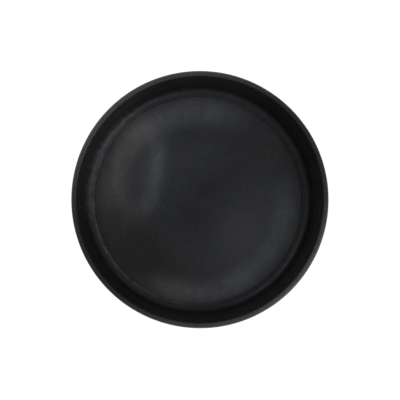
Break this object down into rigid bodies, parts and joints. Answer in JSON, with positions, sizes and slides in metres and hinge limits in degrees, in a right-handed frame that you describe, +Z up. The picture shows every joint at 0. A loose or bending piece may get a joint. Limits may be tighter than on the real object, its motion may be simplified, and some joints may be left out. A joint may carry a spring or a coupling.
{
  "type": "sink plunger",
  "caption": "Rubber suction cup for clearing a blocked sink, with a turned wooden handle that screws into the neck of the cup and a lined hanging hole near the handle's end.",
  "frame": {"origin": "centre of the cup's mouth, in the plane of the lip that it stands on", "axes": "+Z up along the cup and handle, from the lip towards the handle's end; Y along the hanging hole"},
  "size_m": [0.13, 0.13, 0.2629],
  "materials": {
    "cup_rubber": "dull black moulded rubber with a faint bloom",
    "plate_steel": "punched sheet steel",
    "bush_nylon": "black glass-filled nylon",
    "washer_rubber": "red-brown soft rubber",
    "tip_zinc": "die-cast zinc, satin plated",
    "pin_steel": "bright drawn steel",
    "handle_beech": "turned beech, thin clear lacquer",
    "eyelet_brass": "rolled brass, slightly dulled"
  },
  "bodies": {
    "cup": {"cup": "cup_rubber"},
    "hub": {"crown_plate": "plate_steel", "threaded_bush": "bush_nylon"},
    "washer": {"seat_washer": "washer_rubber"},
    "handle": {"handle": "handle_beech", "threaded_tip": "tip_zinc", "tip_pin": "pin_steel", "hang_eyelet": "eyelet_brass"}
  },
  "joints": [
    {"name": "plunge", "type": "slide", "parent": "cup", "child": "hub", "axis": [0, 0, 1], "range_m": [-0.02, 0], "stiffness_N_per_m": 2500, "springref_m": 0.001, "deforming": ["cup"]},
    {"name": "unscrew_lift", "type": "slide", "parent": "hub", "child": "washer", "axis": [0, 0, 1], "range_m": [0, 0.02032]},
    {"name": "unscrew_turn", "type": "hinge", "parent": "washer", "child": "handle", "pos_m": [0, 0, 0.0843], "axis": [0, 0, 1], "range_deg": [0, 1440]}
  ],
  "couplings": [
    {"joint": "unscrew_lift", "follows": "unscrew_turn", "m_per_rad": 0.0008085}
  ]
}
